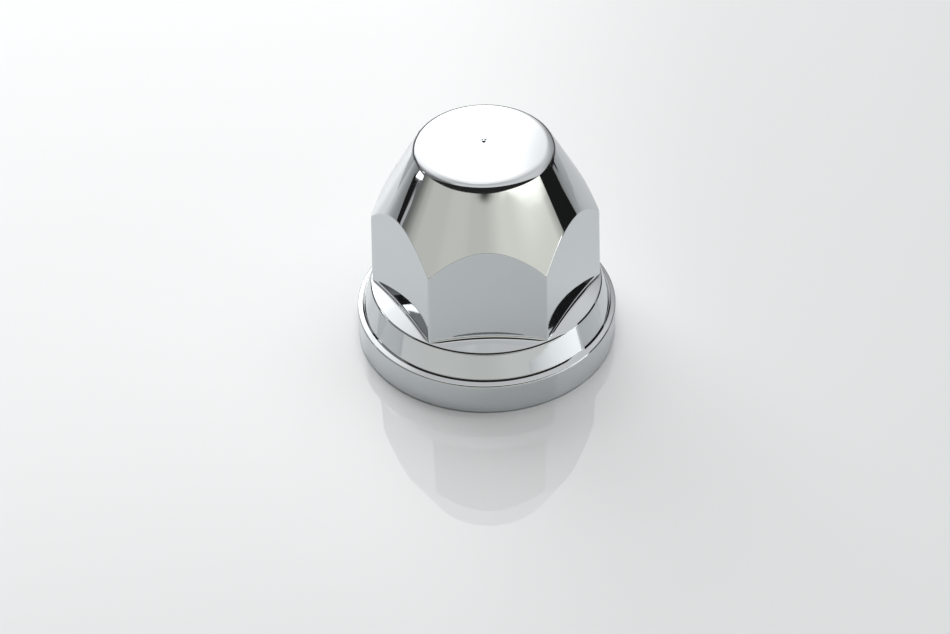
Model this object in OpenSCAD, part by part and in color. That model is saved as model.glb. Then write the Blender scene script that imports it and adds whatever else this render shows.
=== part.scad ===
// Push-on cover for a wheel nut: a hexagonal cap with a turned crown, on a round flange.
// It is one thin plated moulding, open underneath, and long ribs inside it grip the nut.
// All sizes are in millimetres. The flange stands on the XY plane, and Z is the nut's axis.

/* [Overall] */
// Height from the wheel to the top of the dome
cover_h = 53.75; // [44:0.25:66]
// Width across the hexagon's flats, at the collar
hex_af = 45.6; // [37.5:0.1:56]
// Thickness of the moulded wall
wall = 2; // [1.2:0.1:2.6]

/* [Flange] */
// Height of the flange's straight side
flange_h = 7.9; // [4:0.1:10]
// Width of the ring on top of the flange, from its outer edge to the collar
ring_w = 1.45; // [0.8:0.05:4]
// Rise of that ring towards the collar
ring_rise = 0.6; // [0:0.05:1.5]
// Rounding of the flange's lower edge
foot_round = 0.6; // [0.2:0.1:1.5]
// Rounding of the flange's upper edge
ring_round = 0.45; // [0.1:0.05:0.6]

/* [Collar] */
// Height of the collar's upper edge above the wheel
collar_z = 14.9; // [12:0.1:20]
// Lean of the collar's side, in degrees from upright
collar_lean = 16.8; // [4:0.2:30]
// Gap between the hexagon's corners and the collar's upper edge
collar_land = 0.4; // [0.2:0.05:3]
// Slope of the shoulder that rises from the collar to the flats, in degrees
shoulder_slope = 21.5; // [5:0.5:35]
// Rounding of the collar's upper edge
collar_round = 0.6; // [0.1:0.05:0.8]
// Hollow rounding where the collar meets the flange's ring
collar_fillet = 0.8; // [0.1:0.05:1]

/* [Hexagon] */
// Draft of each flat, in degrees
hex_draft = 1.5; // [0.5:0.1:3]
// Rounding of the upright corners
hex_round = 0.7; // [0.3:0.1:1.5]
// Height at which the crown meets the corners
corner_z = 33.4; // [26:0.2:38]

/* [Crown] */
// Slope of the crown's side where it meets the corners, in degrees from level
crown_slope = 62.3; // [50:0.1:70]
// Radius of the slight bulge of the crown's side, seen from the side
crown_bow = 950; // [200:10:2000]
// Radius of the dome on top
dome_r = 150; // [80:1:600]
// Rounding between the crown's side and the dome
crown_round = 2.6; // [0.8:0.1:5]
// Diameter of the small gate mark at the top's centre
gate_d = 1.1; // [0.6:0.1:3]
// Height of the gate mark
gate_h = 0.2; // [0.1:0.05:0.4]

/* [Grip on the nut] */
// Width across flats of the wheel nut that the cover fits
nut_af = 33; // [27:0.5:40]
// How far each rib stands into the nut's flat, so that it grips
bite = 0.15; // [0:0.05:0.3]
// Thickness of a rib
rib_t = 1.2; // [0.8:0.1:1.8]
// Distance between the two ribs of one flat
rib_pitch = 11; // [6:0.5:14]
// Height of the washer under the nut, with room above it
washer_h = 8.6; // [7:0.1:11]
// Height of the slanted lead-in at a rib's lower end
lead_h = 5; // [2:0.5:10]
// Depth of the slanted lead-in
lead_w = 2; // [0.5:0.1:4]

/* [Hidden] */
$fn = 192;

// Half the width across flats at height z, and the radius of the sharp corners there.
function apothem(z) = hex_af / 2 - (z - collar_z) * tan(hex_draft);
function corner(z) = apothem(z) / cos(30);
// The rounded corner lies this much inside the sharp one.
corner_cut = hex_round * (1 / cos(30) - 1);

// The collar just clears the hexagon's corners, and the flange follows from the collar.
collar_r = corner(collar_z) - corner_cut + collar_land;
ring_z = flange_h + ring_rise;
collar_foot_r = collar_r + (collar_z - ring_z) * tan(collar_lean);
flange_r = collar_foot_r + ring_w;

// Outline of flange, collar and shoulder, from the axis outwards and round: [radius, height].
base_pts = [
  [0, 0], [flange_r, 0], [flange_r, flange_h], [collar_foot_r, ring_z],
  [collar_r, collar_z], [0, collar_z + collar_r * tan(shoulder_slope)]
];
base_rounds = [0, foot_round, ring_round, collar_fillet, collar_round, 0];

// Centres of the crown's three arcs: its side, its dome, and the rounding that touches both.
side_c = [corner(corner_z) - corner_cut - crown_bow * sin(crown_slope),
          corner_z - crown_bow * cos(crown_slope)];
dome_c = [0, cover_h - dome_r];
round_c = circles_meet(side_c, crown_bow - crown_round, dome_c, dome_r - crown_round);

grip_x = nut_af / 2 - bite;
// A rounding's arc passes this far beyond the two sides it joins, so that it cuts both cleanly.
touch = 0.001;

function unit(v) = v / norm(v);
function left(v) = [-v[1], v[0]];
function cross2(a, b) = a[0] * b[1] - a[1] * b[0];
// Where the line through p along u crosses the line through q along v.
function lines_meet(p, u, q, v) = p + u * cross2(q - p, v) / cross2(u, v);
// The upper of the two points where two circles cross.
function circles_meet(a, ra, b, rb) =
  let (d = norm(b - a), u = (b - a) / d, x = (d * d + ra * ra - rb * rb) / (2 * d))
  a + u * x + left(u) * sqrt(ra * ra - x * x);
// Corner i of a closed outline once each side has moved inwards by g.
function inset_corner(p, i, g) =
  let (n = len(p), a = p[(i + n - 1) % n], b = p[i], c = p[(i + 1) % n],
       u = unit(b - a), v = unit(c - b))
  lines_meet(b + left(u) * g, u, b + left(v) * g, v);

// The wedge outside an arc of radius r about c, between directions d1 and d2 from c.
// Taken off a sharp corner it rounds it; added to an inner corner it fills it.
module arc_wedge(c, d1, d2, r, reach) {
  difference() {
    polygon([c, c + d1 * reach, c + unit(d1 + d2) * reach * 1.6, c + d2 * reach]);
    translate(c) circle(r + touch);
  }
}

// Wedge for corner i of a closed outline that runs anticlockwise.
module outline_wedge(p, i, r) {
  n = len(p);
  u = unit(p[i] - p[(i + n - 1) % n]);
  v = unit(p[(i + 1) % n] - p[i]);
  s = sign(cross2(u, v));
  c = lines_meet(p[i] + left(u) * r * s, u, p[i] + left(v) * r * s, v);
  arc_wedge(c, -left(u) * s, -left(v) * s, r, r * 1.25);
}

module rounded_outline(p, rounds) {
  difference() {
    union() {
      polygon(p);
      for (i = [1:len(p) - 2])
        if (cross2(p[i] - p[i - 1], p[i + 1] - p[i]) < 0) outline_wedge(p, i, rounds[i]);
    }
    for (i = [1:len(p) - 2])
      if (cross2(p[i] - p[i - 1], p[i + 1] - p[i]) > 0) outline_wedge(p, i, rounds[i]);
  }
}

// Flange, collar and shoulder, turned about the axis.
module base() {
  rotate_extrude() rounded_outline(base_pts, base_rounds);
}

// The hollow under them: the same outline moved inwards by g, and open at the wheel.
module base_hollow(g) {
  n = len(base_pts);
  inner = [for (i = [2:n - 2]) inset_corner(base_pts, i, g)];
  v = unit(base_pts[n - 1] - base_pts[n - 2]);
  peak = lines_meet(inner[n - 4], v, [0, 0], [0, 1]);
  rotate_extrude() polygon(concat([[0, -1], [flange_r - g, -1]], inner, [peak]));
}

// One pair of opposite flats, each g inside the outer one.
module flats(g) {
  low = apothem(ring_z) - g / cos(hex_draft);
  high = apothem(cover_h) - g / cos(hex_draft);
  translate([-flange_r, 0, 0]) rotate([90, 0, 90]) linear_extrude(2 * flange_r)
    polygon([[-low, ring_z], [low, ring_z], [high, cover_h], [-high, cover_h]]);
}

// Rounds off the upright corner that points along +X, g inside the outer one.
module corner_rounding(g) {
  lean = atan(tan(hex_draft) / cos(30));
  foot_r = (apothem(0) - g / cos(hex_draft)) / cos(30);
  n = [cos(30) * cos(hex_draft) * cos(lean) + sin(hex_draft) * sin(lean), cos(hex_draft) / 2];
  c = [-hex_round / n[0], 0];
  translate([foot_r, 0, 0]) rotate([0, -lean, 0]) linear_extrude(cover_h * 1.1)
    arc_wedge(c, n, [n[0], -n[1]], hex_round, hex_round * 1.5);
}

// Drafted hexagon with its flats facing front and back.
module hexagon(g) {
  difference() {
    intersection() {
      flats(g);
      rotate(60) flats(g);
      rotate(120) flats(g);
    }
    for (i = [0:5]) rotate(60 * i) corner_rounding(g);
  }
}

// Crown: a bulged cone and a shallow dome with a rounding that touches both, g inside.
module crown(g) {
  rotate_extrude() difference() {
    intersection() {
      translate(side_c) circle(crown_bow - g, $fn = 256);
      translate(dome_c) circle(dome_r - g, $fn = 256);
      translate([0, ring_z / 2]) square([2 * flange_r, cover_h]);
    }
    if (crown_round - g > 0.05)
      arc_wedge(round_c, unit(round_c - dome_c), unit(round_c - side_c),
                crown_round - g, crown_round * 2);
  }
}

module cap(g) {
  intersection() {
    hexagon(g);
    crown(g);
  }
}

// One grip rib: it stands on the wall, and its edge leads in and then bears on the nut.
module rib() {
  translate([0, rib_t / 2, 0]) rotate([90, 0, 0]) linear_extrude(rib_t)
    polygon([[grip_x + lead_w, washer_h], [flange_r, washer_h], [flange_r, cover_h],
             [grip_x, cover_h], [grip_x, washer_h + lead_h]]);
}

module ribs() {
  intersection() {
    for (i = [0:5], s = [-1, 1]) rotate(30 + 60 * i) translate([0, s * rib_pitch / 2, 0]) rib();
    union() {
      base_hollow(wall / 2);
      cap(wall / 2);
    }
  }
}

// The small round mark that the mould's gate leaves on top.
module gate_mark() {
  r = (gate_d * gate_d / 4 + gate_h * gate_h) / (2 * gate_h);
  translate([0, 0, cover_h + gate_h - r]) sphere(r);
}

module cover() {
  color([0.80, 0.82, 0.84]) {
    difference() {
      union() {
        base();
        cap(0);
        gate_mark();
      }
      base_hollow(wall);
      cap(wall);
    }
    ribs();
  }
}

cover();
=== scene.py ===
"""Wheel nut cover: a plated hexagonal cap with a turned crown, standing on a round flange."""

import math

import bpy
import numpy as np
from mathutils import Matrix, Vector


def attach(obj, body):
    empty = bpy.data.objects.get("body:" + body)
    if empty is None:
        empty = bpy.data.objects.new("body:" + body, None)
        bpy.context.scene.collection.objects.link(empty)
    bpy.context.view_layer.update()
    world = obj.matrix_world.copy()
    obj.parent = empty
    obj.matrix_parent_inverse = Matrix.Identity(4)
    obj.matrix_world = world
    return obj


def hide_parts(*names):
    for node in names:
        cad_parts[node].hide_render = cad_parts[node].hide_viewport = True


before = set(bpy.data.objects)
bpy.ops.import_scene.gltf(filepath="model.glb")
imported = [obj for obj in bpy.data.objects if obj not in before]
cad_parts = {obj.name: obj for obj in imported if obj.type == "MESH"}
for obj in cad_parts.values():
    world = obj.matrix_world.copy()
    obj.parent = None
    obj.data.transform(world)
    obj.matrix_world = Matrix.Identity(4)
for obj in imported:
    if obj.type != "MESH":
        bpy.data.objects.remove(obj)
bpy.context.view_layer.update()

# Sizes in millimetres and degrees, the same as the part's own.
FLANGE_H, FOOT_ROUND, RING_W, RING_RISE = 7.9, 0.6, 1.45, 0.6
COLLAR_Z, COLLAR_LEAN, COLLAR_LAND, SHOULDER_SLOPE = 14.9, 16.8, 0.4, 21.5
HEX_AF, HEX_DRAFT, HEX_ROUND, CORNER_Z = 45.6, 1.5, 0.7, 33.4
CROWN_SLOPE, CROWN_BOW, CROWN_ROUND = 62.3, 950.0, 2.6
COVER_H, DOME_R, GATE_D, GATE_H = 53.75, 150.0, 1.1, 0.2
WALL, NUT_AF, BITE, RIB_T, RIB_PITCH = 2.0, 33.0, 0.15, 1.2, 11.0
WASHER_H, LEAD_H, LEAD_W = 8.6, 5.0, 2.0
# Small blends that plating leaves: along each flat's foot, along the arches, round the ring.
FLAT_FOOT_FILLET, ARCH_ROUND, RING_EDGE_ROUND = 1.2, 0.8, 0.6
# The collar's two edges are eased: a narrow flat strip, with a small round at each side of it.
EASE_WIDTHS, EASE_ROUNDS = (0.42, 0.3), (0.4, 0.3)
# The shallow ring that the gate mark stands in: its outer radius and its depth. The mark's top
# is flat out to the first radius, and a little lower at the second.
MARK_R, MARK_DEPTH = 0.82, 0.2
MARK_TOP_R, MARK_EDGE_R, MARK_EDGE_H = 0.14, 0.22, 0.95 * GATE_H
# An edge that turns by more than this, in degrees, is shaded sharp.
SHARP_EDGE = 22
# One millimetre, in the metres that every object is in.
MM = 0.001

TAN30, COS30 = math.tan(math.radians(30)), math.cos(math.radians(30))
SHOULDER_RISE = math.tan(math.radians(SHOULDER_SLOPE))


def apothem(z, inset):
    """Half the width across flats at height z: it falls by the draft's tangent, less the wall."""
    draft = math.radians(HEX_DRAFT)
    return HEX_AF / 2 - (z - COLLAR_Z) * math.tan(draft) - inset / math.cos(draft)


CORNER_CUT = HEX_ROUND * (1 / COS30 - 1)
COLLAR_R = apothem(COLLAR_Z, 0) / COS30 - CORNER_CUT + COLLAR_LAND
RING_Z = FLANGE_H + RING_RISE
COLLAR_FOOT_R = COLLAR_R + (COLLAR_Z - RING_Z) * math.tan(math.radians(COLLAR_LEAN))
FLANGE_R = COLLAR_FOOT_R + RING_W
CORNER_R = apothem(CORNER_Z, 0) / COS30 - CORNER_CUT
SHOULDER_PEAK = COLLAR_Z + COLLAR_R * SHOULDER_RISE
# Centres, as radius and height: of the crown's bulged side, and of the dome.
SIDE_C = np.array([CORNER_R - CROWN_BOW * math.sin(math.radians(CROWN_SLOPE)),
                   CORNER_Z - CROWN_BOW * math.cos(math.radians(CROWN_SLOPE))])
DOME_C = np.array([0.0, COVER_H - DOME_R])
# Distances in a flat's own axes: the grip line out from the axis, a rib's two faces along the flat.
GRIP_X = NUT_AF / 2 - BITE
RIB_NEAR, RIB_FAR = RIB_PITCH / 2 - RIB_T / 2, RIB_PITCH / 2 + RIB_T / 2


def circles_meet(a, ra, b, rb):
    """Upper crossing of two circles, from the triangle that their centres make with it."""
    d = np.linalg.norm(b - a)
    u = (b - a) / d
    x = (d * d + ra * ra - rb * rb) / (2 * d)
    return a + u * x + np.array([-u[1], u[0]]) * math.sqrt(ra * ra - x * x)


# The rounding between side and dome: its centre, and the angles at which it meets each.
ROUND_C = circles_meet(SIDE_C, CROWN_BOW - CROWN_ROUND, DOME_C, DOME_R - CROWN_ROUND)
SIDE_ANGLE = math.atan2(*(ROUND_C - SIDE_C)[::-1])
DOME_ANGLE = math.atan2(*(ROUND_C - DOME_C)[::-1])


def crown_height(r, inset):
    """Height of the crown's bulged side at radius r: a circle about a far centre."""
    return SIDE_C[1] + np.sqrt((CROWN_BOW - inset) ** 2 - (r - SIDE_C[0]) ** 2)


def dome_height(r, inset):
    """Height of the dome at radius r: a sphere centred on the axis."""
    return DOME_C[1] + np.sqrt((DOME_R - inset) ** 2 - r ** 2)


def inset_line(p, q, inset):
    """The line from p to q moved inwards by the wall, as a point and a unit direction."""
    u = (q - p) / np.linalg.norm(q - p)
    return p + np.array([-u[1], u[0]]) * inset, u


def lines_meet(a, b):
    """Where two lines, each a point and a direction, cross. The way along the first is the
    cross product of the step between the points with v, over that of u with v."""
    (p, u), (q, v) = a, b
    d = q - p
    return p + u * (d[0] * v[1] - d[1] * v[0]) / (u[0] * v[1] - u[1] * v[0])


def half_columns(steps):
    """Columns on one half of a flat, from its middle to the rounded corner.

    A column meets the section of half width a at a * V + W, in the flat's own axes: first out of
    the flat, then along it. Up to the rib, W's second part is the column's fixed distance alpha
    along the flat. From there it goes over, by the share f, to the corner's own line. On the
    rounded corner a point is the corner's centre plus the rounding's radius at the angle psi.
    """
    alpha = [*np.linspace(0, RIB_NEAR, steps + 1), RIB_NEAR, RIB_FAR, RIB_FAR]
    rib = [0] * (steps + 1) + [1, 1, 0]
    V = [(1.0, 0.0)] * len(alpha)
    W = [(0.0, x) for x in alpha]
    for f in [*np.linspace(0, 1, steps + 2)[1:-1], 0.985, 1.0]:
        V.append((1.0, f * TAN30))
        W.append((0.0, RIB_FAR * (1 - f) - f * HEX_ROUND * TAN30))
        alpha.append(np.nan)
        rib.append(0)
    for psi in np.radians(np.linspace(0, 30, 8)[1:]):
        V.append((1.0, TAN30))
        W.append((HEX_ROUND * (math.cos(psi) - 1), HEX_ROUND * (math.sin(psi) - TAN30)))
        alpha.append(np.nan)
        rib.append(0)
    return np.array(V), np.array(W), np.array(alpha), np.array(rib)


def all_columns(steps=7):
    """Columns of a whole turn: each half is mirrored, then the sixth is turned six times."""
    V, W, alpha, rib = half_columns(steps)
    flip = np.array([1.0, -1.0])
    V = np.concatenate([(V * flip)[-2:0:-1], V])
    W = np.concatenate([(W * flip)[-2:0:-1], W])
    alpha = np.concatenate([-alpha[-2:0:-1], alpha])
    rib = np.concatenate([rib[-2:0:-1], rib])
    turns = np.radians(30 + 60 * np.arange(6)).repeat(len(V))
    return np.tile(V, (6, 1)), np.tile(W, (6, 1)), np.tile(alpha, 6), np.tile(rib, 6), turns


V, W, ALPHA, RIB, TURN = all_columns()
COLUMNS = len(TURN)


def hex_point(z, inset):
    """Point of each column on the hexagon's side at height z, in the flat's own axes."""
    return apothem(z, inset)[:, None] * V + W


def column(value):
    """One number for every column."""
    return np.full(COLUMNS, float(value))


def row(r, z, t):
    """A ring of points from radius, height and polar angle in the flat's own axes."""
    r, z, t = (np.broadcast_to(x, COLUMNS) for x in (r, z, t))
    return np.stack([r * np.cos(t + TURN), r * np.sin(t + TURN), z], 1)


def polar(z, inset):
    """Radius and polar angle of each column on the hexagon's side at height z."""
    p = hex_point(z, inset)
    return np.hypot(*p.T), np.arctan2(p[:, 1], p[:, 0])


def hex_row(z, inset):
    """A ring on the hexagon's sides."""
    r, t = polar(z, inset)
    return row(r, z, t)


def round_rows(radius, steps, angle):
    """Rings over the rounding from the crown's side to the dome: its centre plus the radius."""
    return [row(ROUND_C[0] + radius * math.cos(a), ROUND_C[1] + radius * math.sin(a), angle)
            for a in np.linspace(SIDE_ANGLE, DOME_ANGLE, steps)]


def foot_heights(collar_top, inset):
    """Height at which each column's flat meets the shoulder, a cone down from the collar's top.
    Each pass puts the flat's radius at the last height into the cone's rule."""
    z = column(collar_top[1])
    for _ in range(8):
        z = collar_top[1] + (collar_top[0] - polar(z, inset)[0]) * SHOULDER_RISE
    return z


def arch_heights(inset):
    """Height at which each column's flat meets the crown's bulged side, found in the same way."""
    z = column(CORNER_Z)
    for _ in range(20):
        z = crown_height(polar(z, inset)[0], inset)
    return z


def blend_arc(corner, u, v, radius, steps):
    """Arc that touches the line arriving along u and the line leaving along v. It starts back
    along u by the radius times the tangent of half the turn, and its centre is inward of there
    by the radius."""
    turn = np.arctan2(u[..., 0] * v[..., 1] - u[..., 1] * v[..., 0], (u * v).sum(-1))
    side, radius = np.sign(turn)[..., None], np.asarray(radius)[..., None]
    inward = np.stack([-u[..., 1], u[..., 0]], -1) * side
    reach = radius * np.tan(abs(turn) / 2)[..., None]
    centre = corner - u * reach + inward * radius
    return [centre + radius * (u * np.sin(abs(turn) * k)[..., None]
                               - inward * np.cos(abs(turn) * k)[..., None])
            for k in np.linspace(0, 1, steps + 1)]


def eased_corner(corner, u, v, width, radius, steps):
    """A strip across a corner, along the sum of the two directions, and an arc at each end. It
    reaches back along each line by its width and both arcs' own reaches, over that sum's length.
    Each arc makes half of the bend, so the tangent in its reach is of a quarter of it."""
    way = (u + v) / np.linalg.norm(u + v)
    quarter_bend = math.acos(u @ v) / 4
    reach = (width + 2 * radius * math.tan(quarter_bend)) / np.linalg.norm(u + v)
    return (blend_arc(corner - u * reach, u, way, radius, steps)
            + blend_arc(corner + v * reach, way, v, radius, steps))


def between(a, b, parts):
    """Points from a to b at the given parts of the way."""
    return [a + (b - a) * f for f in parts]


NEAR_ENDS = [0.04, 0.35, 0.65, 0.96]


def outer_rows():
    """The outside, from the rim up: flange, ring, collar, shoulder, flat, crown, dome, mark."""
    rim = np.array([FLANGE_R, 0.0])
    flange_top = np.array([FLANGE_R, FLANGE_H])
    collar_foot = np.array([COLLAR_FOOT_R, RING_Z])
    collar_top = np.array([COLLAR_R, COLLAR_Z])
    peak = np.array([0.0, SHOULDER_PEAK])
    path = [np.array([FLANGE_R - WALL, 0.0]), rim, flange_top, collar_foot, collar_top, peak]
    ways = [(b - a) / np.linalg.norm(b - a) for a, b in zip(path, path[1:])]
    corners = list(zip(path[1:], ways, ways[1:]))
    arcs = [blend_arc(*corner, radius, steps=8)
            for corner, radius in zip(corners, (FOOT_ROUND, RING_EDGE_ROUND))]
    arcs += [eased_corner(*corner, width, radius, steps=5)
             for corner, width, radius in zip(corners[2:], EASE_WIDTHS, EASE_ROUNDS)]
    profile = [*arcs[0]]
    for arc, following in zip(arcs, arcs[1:]):
        profile += between(arc[-1], following[0], NEAR_ENDS) + following
    shoulder_start = profile[-1]

    z_foot, z_arch = foot_heights(collar_top, 0), arch_heights(0)
    (r_foot, t_foot), (r_arch, t_arch) = polar(z_foot, 0), polar(z_arch, 0)
    foot, arch = np.stack([r_foot, z_foot], 1), np.stack([r_arch, z_arch], 1)
    up = (arch - foot) / np.linalg.norm(arch - foot, axis=1)[:, None]
    shoulder = np.broadcast_to(ways[4], up.shape)
    crown_way = np.stack([-(z_arch - SIDE_C[1]), r_arch - SIDE_C[0]], 1)
    crown_way /= np.linalg.norm(crown_way, axis=1)[:, None]
    room = np.linalg.norm(foot - shoulder_start, axis=1)
    half_bend = np.arccos((shoulder * up).sum(1)) / 2
    # Near the hexagon's corners the shoulder is narrow, so the fillet takes 0.8 of it at most.
    fillet = np.minimum(FLAT_FOOT_FILLET, 0.8 * room / np.tan(half_bend))
    foot_arc = blend_arc(foot, shoulder, up, fillet, steps=9)
    arch_arc = blend_arc(arch, up, crown_way, ARCH_ROUND, steps=7)

    rows = [row(r, z, t_foot) for r, z in profile]
    rows += [row(p[:, 0], p[:, 1], t_foot)
             for p in between(shoulder_start, foot_arc[0], [0.06, 0.35, 0.65, 0.94])]
    rows += [row(p[:, 0], p[:, 1], t_foot) for p in foot_arc]
    low, high = foot_arc[-1][:, 1], arch_arc[0][:, 1]
    rows += [hex_row(z, 0) for z in between(low, high, [0.01, 0.1, 0.5, 0.9, 0.99])]
    rows += [row(p[:, 0], p[:, 1], t_arch) for p in arch_arc]
    side_top = SIDE_C + (ROUND_C - SIDE_C) * CROWN_BOW / (CROWN_BOW - CROWN_ROUND)
    radii = between(arch_arc[-1][:, 0], side_top[0], [0.01, 0.06, 0.2, 0.4, 0.6, 0.8, 0.97])
    rows += [row(r, crown_height(r, 0), t_arch) for r in radii]
    rows += round_rows(CROWN_ROUND, 17, t_arch)
    dome_edge = ROUND_C[0] + CROWN_ROUND * math.cos(DOME_ANGLE)
    rows += [row(r, dome_height(r, 0), t_arch)
             for r in between(dome_edge, MARK_R, [0.02, 0.15, 0.35, 0.55, 0.75, 0.9, 1.0])]
    # The gate mark: a small nub standing in a shallow ring, both with flanks near 50 degrees.
    rows += [row(r, COVER_H + h, t_arch)
             for r, h in [(MARK_R - MARK_DEPTH, -MARK_DEPTH), (GATE_D / 2, -MARK_DEPTH),
                          (MARK_EDGE_R, MARK_EDGE_H), (MARK_TOP_R, GATE_H), (0.0, GATE_H)]]
    return rows


def inner_rows():
    """The inside, from the rim up to the dome, with twelve grip ribs standing on it.

    Its turned profile is the outside's moved in by the wall. Each rib column keeps its distance
    along the flat, and its point moves in to the rib's edge wherever that lies nearer the axis
    than the wall.
    """
    path = [np.array([FLANGE_R, -1.0]), np.array([FLANGE_R, FLANGE_H]),
            np.array([COLLAR_FOOT_R, RING_Z]), np.array([COLLAR_R, COLLAR_Z]),
            np.array([0.0, SHOULDER_PEAK])]
    lines = [inset_line(a, b, WALL) for a, b in zip(path, path[1:])]
    recess_top, ledge, collar_top = (lines_meet(a, b) for a, b in zip(lines, lines[1:]))
    z_foot, z_arch = foot_heights(collar_top, WALL), arch_heights(WALL)
    along = np.where(np.isnan(ALPHA), RIB_FAR, abs(ALPHA))
    r_end = np.hypot(GRIP_X, along)

    def spread(z):
        """Rule for each column's polar angle on a turned part, tied to its angle at height z. A
        column up to the rib keeps its distance along the flat, and the others share out the
        angle from the rib to the corner as they do at z."""
        r, t = polar(z, WALL)
        rib_t = np.arcsin(RIB_FAR / r)
        share = (abs(t) - rib_t) / (math.pi / 6 - rib_t)

        def angle(radius):
            radius = np.broadcast_to(radius, COLUMNS)
            at_rib = np.arcsin(RIB_FAR / np.maximum(radius, np.hypot(GRIP_X, RIB_FAR)))
            beyond_rib = at_rib + share * (math.pi / 6 - at_rib)
            up_to_rib = np.arcsin(along / np.maximum(radius, r_end))
            return np.where(np.isnan(ALPHA), beyond_rib, up_to_rib) * np.where(t < 0, -1, 1)
        return r, angle

    r_foot, low_angle = spread(z_foot)
    r_arch, high_angle = spread(z_arch)
    collar_slope = (collar_top[0] - ledge[0]) / (collar_top[1] - ledge[1])
    rib_foot = np.array([ledge[0] + (WASHER_H - ledge[1]) * collar_slope, WASHER_H])
    rib_lead = np.array([collar_top[0] - (WASHER_H + LEAD_H - collar_top[1]) / SHOULDER_RISE,
                         WASHER_H + LEAD_H])
    start = np.array([FLANGE_R - WALL, 0.0])
    below_ribs = [start, *between(start, recess_top, [0.5, 1.0]),
                  *between(recess_top, ledge, [0.5, 1.0]), rib_foot]
    beside_ribs = [rib_foot, *between(rib_foot, collar_top, [0.5, 1.0]), rib_lead]
    rows = [row(r, z, low_angle(r)) for r, z in below_ribs + beside_ribs]
    foot = np.stack([r_foot, z_foot], 1)
    rows += [row(p[:, 0], p[:, 1], low_angle(p[:, 0]))
             for p in between(rib_lead, foot, [0.33, 0.66, 1.0])]
    rows += [hex_row(z, WALL) for z in between(z_foot, z_arch, [0.03, 0.35, 0.7, 0.97, 1.0])]
    rows += [row(r, crown_height(r, WALL), high_angle(r))
             for r in between(r_arch, r_end, [0.05, 0.35, 0.7, 1.0])]
    inner_round = CROWN_ROUND - WALL
    side_end = ROUND_C + (ROUND_C - SIDE_C) / np.linalg.norm(ROUND_C - SIDE_C) * inner_round
    rows += [row(r, crown_height(r, WALL), high_angle(r))
             for r in between(r_end, side_end[0], [0.35, 0.7, 0.97])]
    rows += round_rows(inner_round, 6, high_angle(ROUND_C[0]))
    dome_edge = ROUND_C[0] + inner_round * math.cos(DOME_ANGLE)
    rows += [row(r, dome_height(r, WALL), high_angle(ROUND_C[0]))
             for r in between(dome_edge, 0.0, [0.03, 0.3, 0.6, 0.85, 1.0])]

    # The ribs: out of the flat, each keeps to its slanted lead-in and then to the grip line.
    for p in rows[len(below_ribs):]:
        out = p[:, 0] * np.cos(TURN) + p[:, 1] * np.sin(TURN)
        edge = GRIP_X + LEAD_W * np.clip(1 - (p[:, 2] - WASHER_H) / LEAD_H, 0, 1)
        move = np.where(RIB == 1, np.maximum(out - edge, 0), 0)
        p[:, 0] -= move * np.cos(TURN)
        p[:, 1] -= move * np.sin(TURN)
    return rows


def grid_faces(rings, columns, closed=True):
    """Quads between neighbouring rings and neighbouring columns, closed round the axis or not."""
    steps = columns if closed else columns - 1
    i, j = np.meshgrid(np.arange(rings - 1), np.arange(steps), indexing="ij")
    k = (j + 1) % columns
    return np.stack([i * columns + j, (i + 1) * columns + j, (i + 1) * columns + k,
                     i * columns + k], -1).reshape(-1, 4)


def merge_doubles(points, faces):
    """Joins points closer than a hundredth of a micrometre, and drops what that leaves of a face
    with no area. The last result is the number that each point left had before."""
    _, first, where = np.unique(np.round(points, 5), axis=0, return_index=True,
                                return_inverse=True)
    faces = where.reshape(-1)[faces]
    same = faces == np.roll(faces, -1, axis=1)
    quads = faces[~same.any(1)]
    crossed = (quads[:, 0] == quads[:, 2]) | (quads[:, 1] == quads[:, 3])
    quads = quads[~crossed]
    one = faces[same.sum(1) == 1]
    drop = same[same.sum(1) == 1].argmax(1)
    keep = (drop[:, None] + np.array([1, 2, 3])) % 4
    tris = np.take_along_axis(one, keep, 1)
    tris = tris[(tris != np.roll(tris, -1, axis=1)).all(1)]
    return points[first], quads, tris, first


def cover_mesh():
    """One closed skin: the outside from the top down, across the rim, and up the inside. An
    attribute is 1 on the inside, past the two rings that bound the rim, and 0 elsewhere."""
    outside, hollow = outer_rows()[::-1], inner_rows()
    rings = outside + hollow
    points, quads, tris, first = merge_doubles(np.concatenate(rings),
                                               grid_faces(len(rings), COLUMNS))
    mesh = bpy.data.meshes.new("cover_skin")
    corners = np.concatenate([quads.reshape(-1), tris.reshape(-1)])
    starts = np.concatenate([np.arange(len(quads)) * 4,
                             len(quads) * 4 + np.arange(len(tris)) * 3])
    mesh.vertices.add(len(points))
    mesh.vertices.foreach_set("co", (points * MM).ravel())
    mesh.loops.add(len(corners))
    mesh.loops.foreach_set("vertex_index", corners.astype(np.int32))
    mesh.polygons.add(len(starts))
    mesh.polygons.foreach_set("loop_start", starts.astype(np.int32))
    mesh.update(calc_edges=True)
    mesh.validate()
    inside = mesh.attributes.new("inside", "FLOAT", "POINT")
    inside.data.foreach_set("value", (first >= (len(outside) + 1) * COLUMNS).astype(np.float32))
    mesh.polygons.foreach_set("use_smooth", np.ones(len(mesh.polygons), bool))
    mesh.set_sharp_from_angle(angle=math.radians(SHARP_EDGE))
    return mesh


def add_object(name, mesh, material):
    """A new piece or stage object at the origin, with its place in its mesh."""
    piece = bpy.data.objects.new(name, mesh)
    bpy.context.scene.collection.objects.link(piece)
    mesh.materials.append(material)
    return piece


# A Mix node has a set of sockets for each kind of value: these are for numbers and for colours.
NUMBER_A, NUMBER_B, NUMBER_OUT = 2, 3, 0
COLOUR_A, COLOUR_B, COLOUR_OUT = 6, 7, 2
BLACK = (0, 0, 0, 1)


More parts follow.
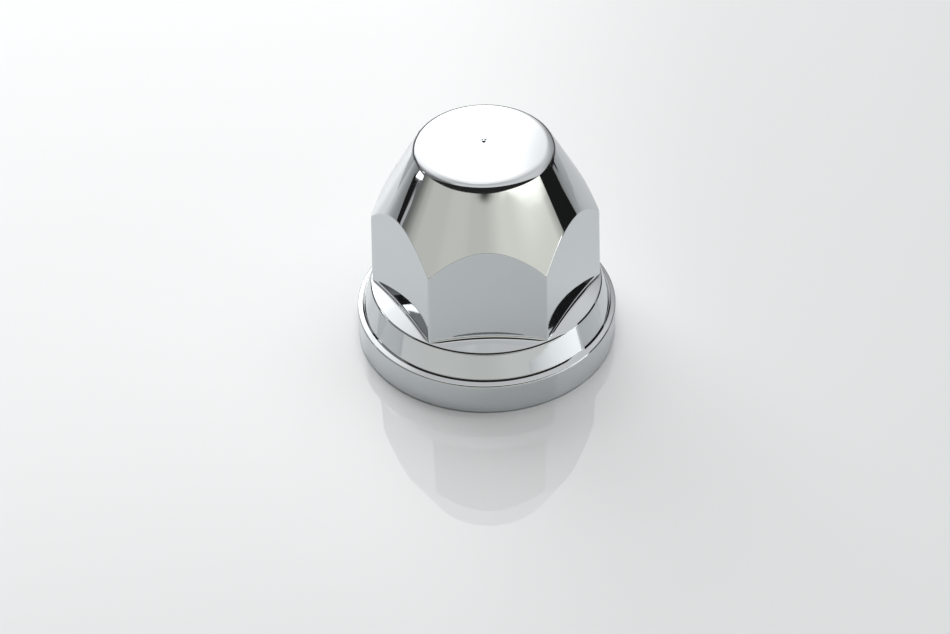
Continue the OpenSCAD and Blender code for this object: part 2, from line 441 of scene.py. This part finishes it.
def colour_mix(nodes, first, second):
    """A node that goes from the first colour to the second as its factor rises."""
    node = nodes.new("ShaderNodeMix")
    node.data_type = "RGBA"
    node.inputs[COLOUR_A].default_value = first
    node.inputs[COLOUR_B].default_value = second
    return node


def noise(nodes, links, scale, detail):
    """A cloudy pattern on the object's own coordinates; the scale is in clouds for each metre."""
    place = nodes.new("ShaderNodeTexCoord")
    cloud = nodes.new("ShaderNodeTexNoise")
    cloud.inputs["Scale"].default_value = scale
    cloud.inputs["Detail"].default_value = detail
    links.new(place.outputs["Object"], cloud.inputs["Vector"])
    return cloud.outputs["Fac"]


def level(nodes, links, source, low, high):
    """Takes a pattern's middle half to the numbers from low to high."""
    node = nodes.new("ShaderNodeMapRange")
    node.inputs["From Min"].default_value, node.inputs["From Max"].default_value = 0.25, 0.75
    node.inputs["To Min"].default_value, node.inputs["To Max"].default_value = low, high
    links.new(source, node.inputs["Value"])
    return node.outputs["Result"]


def number_mix(nodes, links, factor, first, second):
    """A number that goes from the first to the second as the factor rises."""
    node = nodes.new("ShaderNodeMix")
    links.new(factor, node.inputs["Factor"])
    links.new(first, node.inputs[NUMBER_A])
    links.new(second, node.inputs[NUMBER_B])
    return node.outputs[NUMBER_OUT]


def bright_chrome():
    """Bright plating on a moulding: a clean mirror outside with a faint ripple and a slight
    unevenness of polish, and a duller, mottled grey coat inside, where the plating is thin."""
    material = bpy.data.materials.new("bright_chrome")
    material.use_nodes = True
    nodes, links = material.node_tree.nodes, material.node_tree.links
    shader = nodes["Principled BSDF"]
    shader.inputs["Metallic"].default_value = 1.0
    inside = nodes.new("ShaderNodeAttribute")
    inside.attribute_name = "inside"
    clouds = noise(nodes, links, scale=140, detail=2)
    grain = noise(nodes, links, scale=1100, detail=4)

    bright = colour_mix(nodes, (0.768, 0.797, 0.812, 1), (0.783, 0.813, 0.828, 1))
    links.new(clouds, bright.inputs["Factor"])
    dull = colour_mix(nodes, (0.44, 0.455, 0.46, 1), (0.56, 0.575, 0.58, 1))
    links.new(grain, dull.inputs["Factor"])
    colour = colour_mix(nodes, BLACK, BLACK)
    links.new(inside.outputs["Fac"], colour.inputs["Factor"])
    links.new(bright.outputs[COLOUR_OUT], colour.inputs[COLOUR_A])
    links.new(dull.outputs[COLOUR_OUT], colour.inputs[COLOUR_B])
    links.new(colour.outputs[COLOUR_OUT], shader.inputs["Base Color"])

    polish = number_mix(nodes, links, inside.outputs["Fac"],
                        level(nodes, links, clouds, 0.030, 0.050),
                        level(nodes, links, grain, 0.24, 0.38))
    links.new(polish, shader.inputs["Roughness"])

    ripple = nodes.new("ShaderNodeBump")
    ripple.inputs["Strength"].default_value = 0.5
    ripple.inputs["Distance"].default_value = 0.00002
    links.new(clouds, ripple.inputs["Height"])
    peel = nodes.new("ShaderNodeBump")
    peel.inputs["Distance"].default_value = 0.00004
    links.new(inside.outputs["Fac"], peel.inputs["Strength"])
    links.new(grain, peel.inputs["Height"])
    links.new(ripple.outputs["Normal"], peel.inputs["Normal"])
    links.new(peel.outputs["Normal"], shader.inputs["Normal"])
    return material


def studio_floor():
    """A pale table top under clear glass, which mirrors the cover sharply, with faint clouds in
    its whiteness. Seen in the cover's plating its colour is a little darker: painted shade."""
    material = bpy.data.materials.new("pale_gloss_table")
    material.use_nodes = True
    nodes, links = material.node_tree.nodes, material.node_tree.links
    shader = nodes["Principled BSDF"]
    path = nodes.new("ShaderNodeLightPath")
    clouds = noise(nodes, links, scale=9, detail=3)
    pale = colour_mix(nodes, (0.795, 0.81, 0.815, 1), (0.805, 0.82, 0.825, 1))
    links.new(clouds, pale.inputs["Factor"])
    # Painted shade: in rays off the cover's plating the table's colour is darker than to the
    # camera.
    shade = colour_mix(nodes, BLACK, (0.65, 0.665, 0.67, 1))
    links.new(path.outputs["Is Glossy Ray"], shade.inputs["Factor"])
    links.new(pale.outputs[COLOUR_OUT], shade.inputs[COLOUR_A])
    links.new(shade.outputs[COLOUR_OUT], shader.inputs["Base Color"])
    shader.inputs["Roughness"].default_value = 0.0
    shader.inputs["Specular IOR Level"].default_value = 0.65
    mesh = bpy.data.meshes.new("floor_sheet")
    mesh.from_pydata([(-3, -3, 0), (3, -3, 0), (3, 3, 0), (-3, 3, 0)], [], [(0, 1, 2, 3)])
    add_object("floor", mesh, material)


def add_camera():
    """Camera 0.5 m from a point in the cover, 39.4 degrees up. It pans and tilts by small parts
    of its distance, rolls, and is turned about the cover's axis."""
    distance, height = 0.5, 0.025
    elevation = math.radians(39.41)
    pan, tilt, roll, turn = -0.0054, -0.0339, math.radians(-0.99), math.radians(-0.63)
    place = Vector((0, -distance * math.cos(elevation), distance * math.sin(elevation) + height))
    ahead = Vector((0, math.cos(elevation), -math.sin(elevation)))
    right = Vector((1, 0, 0))
    above = right.cross(ahead)
    ahead = (ahead + pan * right + tilt * above).normalized()
    right = ahead.cross(above).normalized()
    above = right.cross(ahead)
    rolled = math.cos(roll) * right + math.sin(roll) * above
    above = math.cos(roll) * above - math.sin(roll) * right
    axes = Matrix((rolled, above, -ahead)).transposed()
    camera = bpy.data.objects.new("camera", bpy.data.cameras.new("camera"))
    bpy.context.scene.collection.objects.link(camera)
    camera.data.sensor_width = 36.0
    camera.data.lens = 83.32
    camera.matrix_world = (Matrix.Rotation(turn, 4, "Z")
                           @ Matrix.Translation(place) @ axes.to_4x4())
    bpy.context.scene.camera = camera


def rise(x, edge, width):
    """Smooth step from 0 to 1, centred on the edge and as wide as width."""
    t = np.clip((x - edge) / width + 0.5, 0, 1)
    return t * t * (3 - 2 * t)


def span(x, low, high, soft_low, soft_high):
    """Smooth window: 1 between low and high, 0 beyond them."""
    return rise(x, low, soft_low) * (1 - rise(x, high, soft_high))


def blend(light, window, brightness, tint=(1, 1, 1)):
    """Moves the light towards a panel's brightness by as much as the panel's window says."""
    goal = np.asarray(brightness)[..., None] * np.array(tint)
    return light + (goal - light) * window[..., None]


def tent_light(azimuth, elevation):
    """Brightness of the light tent seen from the cover, as a colour for each direction.

    Azimuth runs from -180 to 180 degrees: 0 is behind the cover and 90 at its right. The tent has
    a roof, a bright window behind at the left, walls beside it, and a dark room in front. Each
    panel is a smooth window over azimuth and elevation, laid over those before it. On the roof
    the two are the distances aside and behind, for a roof one unit up.
    """
    a, e = np.radians(azimuth), np.radians(elevation)
    over = np.maximum(np.tan(e), 0.01)
    aside, behind = np.sin(a) / over, np.cos(a) / over
    light = np.ones(azimuth.shape + (3,)) * 0.56
    light = blend(light, 1 - rise(behind, -0.15, 0.3), 0.72)
    light = blend(light, span(aside, -0.45, 0.45, 0.5, 0.5)
                  * span(behind, 0.24, 0.6, 0.12, 0.3), 0.94)
    # The wall at the right darkens towards its foot, most of all at 60 degrees round.
    low = 0.2 + 0.5 * (1 - rise(azimuth, 30, 60)) + 0.36 * rise(azimuth, 78, 24)
    high = 0.64 + 0.36 * (1 - rise(azimuth, 32, 64)) + 0.06 * rise(azimuth, 78, 24)
    light = blend(light, span(azimuth, 8, 118, 28, 40) * (1 - rise(elevation, 72, 40)),
                  low + (high - low) * rise(elevation, 20, 50))
    light = blend(light, span(azimuth, -10, 22, 20, 36) * span(elevation, 6, 74, 14, 16), 1.03)
    light = blend(light, span(azimuth, 16, 60, 16, 24) * (1 - rise(elevation, 38, 20)),
                  0.38 + 0.28 * rise(elevation, 30, 44))
    # The wall at the left darkens towards its foot too, and higher up the nearer it is.
    near = -52 - azimuth
    high = 1.17 - 0.32 * rise(near, 16, 32)
    edge, width = 4 + 1.02 * near, np.maximum(24 + 1.1 * near, 12)
    light = blend(light, span(azimuth, -116, -10, 8, 20) * (1 - rise(elevation, 57, 28)),
                  0.15 + (high - 0.15) * rise(elevation, edge, width))
    # Both walls are dark at their foot, beside the dark cards.
    foot = span(azimuth, -70, -50, 6, 14) + span(azimuth, 50, 72, 14, 6)
    light = blend(light, foot * (1 - rise(elevation, 9, 8)), 0.05)
    # The glow above the window, and the window.
    light = blend(light, span(azimuth, -48, 10, 26, 20) * span(elevation, 40, 81, 16, 8), 1.06)
    light = blend(light, span(azimuth, -40, 4, 16, 14) * span(elevation, 14, 50, 16, 20), 3.0)
    # The tent is open at the left and in front.
    light = blend(light, (1 - rise(abs(azimuth + 135), 48, 10))
                  * (1 - rise(behind + 0.71 * aside, -0.95, 0.3)), 0.17)
    return blend(light, 1 - rise(behind, -0.5, 0.07), 0.02)


def board_light(off, height):
    """Brightness of the front board, by degrees off its middle and metres above the table: a
    warm grey, brighter at the right and towards the top, and darker at both ends."""
    right, left = rise(off, 9, 24), rise(-off, 21, 12)
    glow = 0.58 + 0.17 * right + 0.04 * left - 0.04 * rise(-off, 46, 10)
    glow = glow - 0.48 * rise(-off, 86, 28)
    glow = glow + 0.27 * rise(off, 42, 26) * rise(height, 0.122, 0.06)
    glow = glow * (0.92 + 0.08 * rise(height, 0.06, 0.06))
    glow = glow * (1 - 0.55 * rise(off, 81, 14) * (1 - 0.6 * rise(height, 0.11, 0.04)))
    # A bright strip along the top at the right, deeper and softer the further round it is.
    further = np.maximum(off - 30, 0)
    strip_foot = rise(height, 0.145 - 0.00055 * further, 0.005 + 0.0003 * further)
    glow = glow + (1.5 - glow) * span(off, 27, 84, 22, 6) * strip_foot
    # A dark notch at the top of the middle, and a dark foot all the way round.
    notch = np.exp(-(off / 10) ** 2) * rise(height, 0.1485, 0.005)
    return (glow * (1 - notch) * rise(height, 0.024, 0.006))[..., None] * np.array((1, 1, 0.91))


def met_in_table(nodes, links):
    """1 for a ray whose only bounce was off the table's own sharp mirror, and 0 for the rest: a
    first bounce, from a surface with no roughness at all."""
    path = nodes.new("ShaderNodeLightPath")
    first_bounce = nodes.new("ShaderNodeMath")
    first_bounce.operation = "LESS_THAN"
    first_bounce.inputs[1].default_value = 1.5
    links.new(path.outputs["Ray Depth"], first_bounce.inputs[0])
    from_table = nodes.new("ShaderNodeMath")
    from_table.operation = "MULTIPLY"
    links.new(first_bounce.outputs[0], from_table.inputs[0])
    links.new(path.outputs["Is Singular Ray"], from_table.inputs[1])
    return from_table.outputs[0]


def glow_object(name, points, faces, colour, in_table=True):
    """A stage object that glows by its points' own colours, seen by polished surfaces only. In
    the table's own mirror it is never darker than a plain grey, or it is not there at all."""
    mesh = bpy.data.meshes.new(name)
    mesh.from_pydata(points, [], faces.tolist())
    glow = mesh.color_attributes.new("glow", "FLOAT_COLOR", "POINT")
    glow.data.foreach_set("color", np.concatenate([colour, colour[:, :1] * 0 + 1], 1).ravel())
    material = bpy.data.materials.new(name + "_cloth")
    material.use_nodes = True
    material.cycles.emission_sampling = "NONE"
    nodes, links = material.node_tree.nodes, material.node_tree.links
    nodes.clear()
    reader = nodes.new("ShaderNodeAttribute")
    reader.attribute_name = "glow"
    emission = nodes.new("ShaderNodeEmission")
    output = nodes.new("ShaderNodeOutputMaterial")
    plain = colour_mix(nodes, BLACK, (0.56, 0.56, 0.56, 1))
    plain.blend_type = "LIGHTEN"
    from_table = met_in_table(nodes, links)
    links.new(from_table, plain.inputs["Factor"])
    links.new(reader.outputs["Color"], plain.inputs[COLOUR_A])
    links.new(plain.outputs[COLOUR_OUT], emission.inputs["Color"])
    surface = emission.outputs[0]
    if not in_table:
        mix = nodes.new("ShaderNodeMixShader")
        links.new(from_table, mix.inputs[0])
        links.new(surface, mix.inputs[1])
        links.new(nodes.new("ShaderNodeBsdfTransparent").outputs[0], mix.inputs[2])
        surface = mix.outputs[0]
    links.new(surface, output.inputs[0])
    piece = add_object(name, mesh, material)
    piece.visible_camera = piece.visible_diffuse = piece.visible_shadow = False
    return piece


def places(azimuth, distance, height):
    """Points from an azimuth in degrees, a distance from the axis and a height, in metres."""
    a = np.radians(azimuth)
    return np.stack([np.sin(a) * distance, np.cos(a) * distance, height], 1)


def dome(radius, across, up, lowest=0):
    """A dome of directions round the cover: their azimuths and elevations, points and faces."""
    azimuth, elevation = (x.ravel() for x in np.meshgrid(
        np.linspace(-180, 180, across + 1)[:-1], np.linspace(lowest, 90, up + 1)))
    e = np.radians(elevation)
    points = places(azimuth, radius * np.cos(e), radius * np.sin(e))
    return azimuth, elevation, points, grid_faces(up + 1, across)


def light_tent():
    """The light tent: a dome of directions, each with its own brightness."""
    azimuth, elevation, points, faces = dome(3.0, across=360, up=180)
    glow_object("light_tent", points, faces, tent_light(azimuth, elevation))


def backdrop():
    """A pale dome that only a camera sees, so that a low view has a plain backdrop."""
    azimuth, elevation, points, faces = dome(2.9, across=72, up=23, lowest=-2)
    pale = np.array((0.80, 0.815, 0.82)) + 0.1 * rise(elevation, 20, 40)[:, None]
    piece = glow_object("backdrop", points, faces, pale)
    piece.visible_camera, piece.visible_glossy = True, False


def front_board(height=0.152, eye=0.045):
    """A low board round the front. Seen from the crown its top edge is 19.9 degrees up in the
    middle, and falls by a power of the angle off the middle, so it stands further away there."""
    across, up = 183, 77
    off, z = (x.ravel() for x in np.meshgrid(np.linspace(-94, 88, across),
                                             np.linspace(0, 1, up) * height))
    top = 19.9 - 12 * (abs(off) / 86) ** 2.2 + 0.7 * rise(off, 24, 24)
    distance = (height - eye) / np.tan(np.radians(top))
    glow_object("front_board", places(180 - off, distance, z),
                grid_faces(up, across, closed=False), board_light(off, z), in_table=False)


def card(name, corners, brightness):
    """A flat card. Each of its four corners is an azimuth, a distance from the axis and a height;
    the brightness is one number, or one for each corner."""
    glow = np.broadcast_to(brightness, 4)[:, None] * np.ones(3)
    glow_object(name, places(*np.array(corners, float).T), np.array([[0, 1, 2, 3]]), glow,
                in_table=False)


def upright(first, last, foot, top):
    """Corners of an upright card: its two ends, each an azimuth and a distance, by its foot and
    its top."""
    return [(*first, foot), (*last, foot), (*last, top), (*first, top)]


def lamp(name, azimuth, elevation, distance, size, power):
    """Soft square lamp facing the cover. It lights, and isn't itself mirrored."""
    data = bpy.data.lights.new(name, "AREA")
    data.size, data.energy = size, power
    light = bpy.data.objects.new(name, data)
    bpy.context.scene.collection.objects.link(light)
    a, e = math.radians(azimuth), math.radians(elevation)
    way = Vector((math.sin(a) * math.cos(e), math.cos(a) * math.cos(e), math.sin(e)))
    light.location = way * distance
    light.rotation_euler = way.to_track_quat("Z", "Y").to_euler()
    light.visible_glossy = light.visible_camera = False


def set_the_studio():
    """Lamps, the light tent, the backdrop and the front board, and dark and bright cards: flags
    are black, and a gap, a spot and a pane are bright."""
    lamp("key_lamp", azimuth=-25, elevation=45, distance=1.6, size=1.4, power=14.0)
    lamp("top_lamp", azimuth=60, elevation=80, distance=1.6, size=2.0, power=23.0)
    light_tent()
    backdrop()
    front_board()
    black, dim = 0.012, 0.05
    near, far = 0.15, 0.4
    card("right_flag", [(75.5, near, 0), (101, near, 0), (97, near, 0.073), (72, near, 0.073)],
         black)
    card("right_far_flag", [(76, far, 0), (95, far, 0), (90, far, 0.08), (67, far, 0.024)], black)
    card("right_wedge", [(61, near, 0.03), (72, near, 0.041), (72, near, 0.052),
                         (61, near, 0.05)], black)
    card("right_pane", upright((100.5, 0.2), (148, 0.2), foot=0.02, top=0.05),
         (3.0, 0.5, 0.5, 3.0))
    card("left_flag", [(-86, near, 0.03), (-79.5, near, 0.03), (-71, near, 0.04),
                       (-80.5, near, 0.05)], black)
    card("left_gap", upright((-84, far), (-80.5, far), foot=0.015, top=0.05), 0.45)
    spot = near - 0.002
    card("left_spot", [(-74.8, spot, 0.0435), (-86.8, spot, 0.0552), (-86.8, spot, 0.0562),
                       (-77, spot, 0.049)], 2.6)
    card("left_pane", [(-83, far, 0.088), (-79, far, 0.084), (-79, far, 0.104),
                       (-83, far, 0.116)], 1.7)
    card("near_table_edge", upright((-55, 0.33), (63, far), foot=0, top=0.021), black)
    card("far_table_edge", upright((-60, 0.84), (70, 1.2), foot=0, top=0.06), dim)


cover = add_object("plated_cover", cover_mesh(), bright_chrome())
weighting = cover.modifiers.new("even_shading", "WEIGHTED_NORMAL")
weighting.mode = "FACE_AREA"
weighting.keep_sharp = True
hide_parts("cover")
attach(cover, "root")

studio_floor()
add_camera()
set_the_studio()

world = bpy.data.worlds.new("studio_air")
world.use_nodes = True
world.node_tree.nodes["Background"].inputs["Color"].default_value = (0.02, 0.02, 0.02, 1)
bpy.context.scene.world = world
bpy.context.scene.view_settings.view_transform = "Standard"

bpy.context.view_layer.update()
